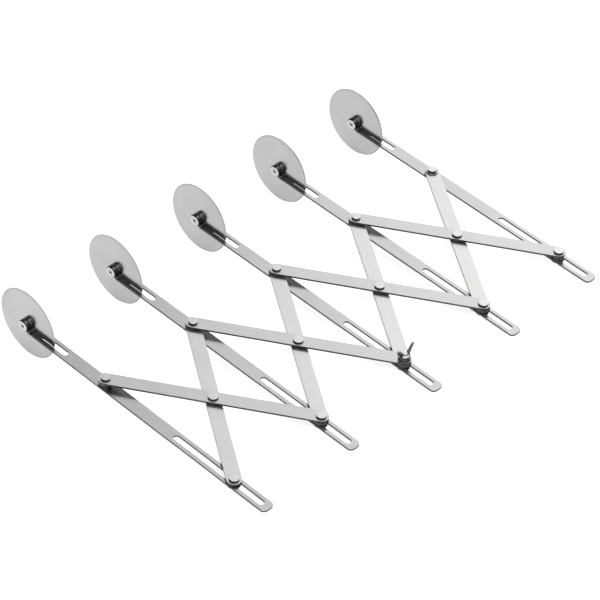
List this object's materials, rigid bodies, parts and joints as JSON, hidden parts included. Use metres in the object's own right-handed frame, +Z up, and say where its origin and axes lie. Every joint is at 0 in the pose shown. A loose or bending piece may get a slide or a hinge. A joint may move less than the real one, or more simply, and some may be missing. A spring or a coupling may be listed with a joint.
{
  "type": "expanding pastry cutter wheel",
  "caption": "Expanding pastry cutter: plain disc wheels on slotted steel arms, spaced by a folding scissor lattice that a wing nut locks",
  "frame": {"origin": "centre of the bounding box's base, on the table under the middle of the cutter as it rests on its wheel rims and arm tails", "axes": "+X along the row of wheels, parallel to their axles; +Y from the arm tails towards the wheels; +Z up from the table. The arms rise towards the wheels by 5.6 degrees"},
  "size_m": [0.3444, 0.2594, 0.055],
  "materials": {
    "arm_steel": "brushed along the strip",
    "link_steel": "brushed along the strip",
    "blade_steel": "fine satin",
    "rivet_steel": "polished, turned heads",
    "washer_steel": "tumbled",
    "axle_steel": "dark polished",
    "nut_steel": "cast, dark nickel plate"
  },
  "bodies": {
    "arm_1": {"arm_1": "arm_steel", "axle_barrel_1": "axle_steel", "axle_screw_1": "axle_steel", "front_rivet_1": "rivet_steel"},
    "arm_2": {"arm_2": "arm_steel", "axle_barrel_2": "axle_steel", "axle_screw_2": "axle_steel", "front_rivet_2": "rivet_steel"},
    "arm_3": {"arm_3": "arm_steel", "axle_barrel_3": "axle_steel", "axle_screw_3": "axle_steel", "front_rivet_3": "rivet_steel"},
    "arm_4": {"arm_4": "arm_steel", "axle_barrel_4": "axle_steel", "axle_screw_4": "axle_steel", "front_rivet_4": "rivet_steel"},
    "arm_5": {"arm_5": "arm_steel", "axle_barrel_5": "axle_steel", "axle_screw_5": "axle_steel", "front_rivet_5": "rivet_steel", "front_top_washer": "washer_steel"},
    "link_a_1": {"link_a_1": "link_steel", "middle_rivet_1": "rivet_steel", "link_a_washers_1": "washer_steel", "rear_pin_2": "rivet_steel"},
    "link_b_1": {"link_b_1": "link_steel", "link_b_washers_1": "washer_steel", "rear_pin_1": "rivet_steel"},
    "link_a_2": {"link_a_2": "link_steel", "middle_rivet_2": "rivet_steel", "link_a_washers_2": "washer_steel", "lock_bolt": "rivet_steel"},
    "link_b_2": {"link_b_2": "link_steel", "link_b_washers_2": "washer_steel"},
    "link_a_3": {"link_a_3": "link_steel", "middle_rivet_3": "rivet_steel", "link_a_washers_3": "washer_steel", "rear_pin_4": "rivet_steel"},
    "link_b_3": {"link_b_3": "link_steel", "link_b_washers_3": "washer_steel"},
    "link_a_4": {"link_a_4": "link_steel", "middle_rivet_4": "rivet_steel", "link_a_washers_4": "washer_steel", "rear_pin_5": "rivet_steel"},
    "link_b_4": {"link_b_4": "link_steel", "link_b_washers_4": "washer_steel"},
    "wheel_1": {"wheel_1": "blade_steel", "wheel_washers_1": "washer_steel"},
    "wheel_2": {"wheel_2": "blade_steel", "wheel_washers_2": "washer_steel"},
    "wheel_3": {"wheel_3": "blade_steel", "wheel_washers_3": "washer_steel"},
    "wheel_4": {"wheel_4": "blade_steel", "wheel_washers_4": "washer_steel"},
    "wheel_5": {"wheel_5": "blade_steel", "wheel_washers_5": "washer_steel"},
    "wing_nut": {"wing_nut": "nut_steel"}
  },
  "joints": [
    {"name": "fold", "type": "hinge", "parent": "arm_3", "child": "link_a_3", "pos_m": [0, 0.02561, 0.01934], "axis": [0, -0.0983, 0.9952], "range_deg": [-28.5, 28.2]},
    {"name": "link_b_2_turn", "type": "hinge", "parent": "arm_3", "child": "link_b_2", "pos_m": [0, 0.02561, 0.01934], "axis": [0, -0.0983, 0.9952], "range_deg": [-28.2, 28.5]},
    {"name": "link_b_3_cross", "type": "hinge", "parent": "link_a_3", "child": "link_b_3", "pos_m": [0.0415, -0.03572, 0.01328], "axis": [0, -0.0983, 0.9952], "range_deg": [-56.4, 57]},
    {"name": "link_a_2_cross", "type": "hinge", "parent": "link_b_2", "child": "link_a_2", "pos_m": [-0.0415, -0.03572, 0.01328], "axis": [0, -0.0983, 0.9952], "range_deg": [-57, 56.4]},
    {"name": "arm_4_turn", "type": "hinge", "parent": "link_b_3", "child": "arm_4", "pos_m": [0.083, 0.02561, 0.01934], "axis": [0, -0.0983, 0.9952], "range_deg": [-28.5, 28.2]},
    {"name": "arm_2_turn", "type": "hinge", "parent": "link_a_2", "child": "arm_2", "pos_m": [-0.083, 0.02561, 0.01934], "axis": [0, -0.0983, 0.9952], "range_deg": [-28.2, 28.5]},
    {"name": "link_a_4_turn", "type": "hinge", "parent": "arm_4", "child": "link_a_4", "pos_m": [0.083, 0.02561, 0.01934], "axis": [0, -0.0983, 0.9952], "range_deg": [-28.5, 28.2]},
    {"name": "link_b_4_cross", "type": "hinge", "parent": "link_a_4", "child": "link_b_4", "pos_m": [0.1245, -0.03572, 0.01328], "axis": [0, -0.0983, 0.9952], "range_deg": [-56.4, 57]},
    {"name": "arm_5_turn", "type": "hinge", "parent": "link_b_4", "child": "arm_5", "pos_m": [0.166, 0.02561, 0.01934], "axis": [0, -0.0983, 0.9952], "range_deg": [-28.5, 28.2]},
    {"name": "link_b_1_turn", "type": "hinge", "parent": "arm_2", "child": "link_b_1", "pos_m": [-0.083, 0.02561, 0.01934], "axis": [0, -0.0983, 0.9952], "range_deg": [-28.2, 28.5]},
    {"name": "link_a_1_cross", "type": "hinge", "parent": "link_b_1", "child": "link_a_1", "pos_m": [-0.1245, -0.03572, 0.01328], "axis": [0, -0.0983, 0.9952], "range_deg": [-57, 56.4]},
    {"name": "arm_1_turn", "type": "hinge", "parent": "link_a_1", "child": "arm_1", "pos_m": [-0.166, 0.02561, 0.01934], "axis": [0, -0.0983, 0.9952], "range_deg": [-28.2, 28.5]},
    {"name": "wheel_1_spin", "type": "hinge", "parent": "arm_1", "child": "wheel_1", "pos_m": [-0.167, 0.10218, 0.0275], "axis": [1, 0, 0], "continuous": true},
    {"name": "wheel_2_spin", "type": "hinge", "parent": "arm_2", "child": "wheel_2", "pos_m": [-0.084, 0.10218, 0.0275], "axis": [1, 0, 0], "continuous": true},
    {"name": "wheel_3_spin", "type": "hinge", "parent": "arm_3", "child": "wheel_3", "pos_m": [-0.001, 0.10218, 0.0275], "axis": [1, 0, 0], "continuous": true},
    {"name": "wheel_4_spin", "type": "hinge", "parent": "arm_4", "child": "wheel_4", "pos_m": [0.082, 0.10218, 0.0275], "axis": [1, 0, 0], "continuous": true},
    {"name": "wheel_5_spin", "type": "hinge", "parent": "arm_5", "child": "wheel_5", "pos_m": [0.165, 0.10218, 0.0275], "axis": [1, 0, 0], "continuous": true},
    {"name": "wing_nut_turn", "type": "hinge", "parent": "link_a_2", "child": "wing_nut", "pos_m": [0, -0.09754, 0.0122], "axis": [0, -0.0983, 0.9952], "range_deg": [0, 360]}
  ],
  "couplings": [
    {"joint": "link_b_2_turn", "follows": "fold", "ratio": -1},
    {"joint": "link_b_3_cross", "follows": "fold", "ratio": -2},
    {"joint": "link_a_2_cross", "follows": "fold", "ratio": 2},
    {"joint": "arm_4_turn", "follows": "fold", "ratio": 1},
    {"joint": "arm_2_turn", "follows": "fold", "ratio": -1},
    {"joint": "link_a_4_turn", "follows": "fold", "ratio": 1},
    {"joint": "link_b_4_cross", "follows": "fold", "ratio": -2},
    {"joint": "arm_5_turn", "follows": "fold", "ratio": 1},
    {"joint": "link_b_1_turn", "follows": "fold", "ratio": -1},
    {"joint": "link_a_1_cross", "follows": "fold", "ratio": 2},
    {"joint": "arm_1_turn", "follows": "fold", "ratio": -1}
  ]
}
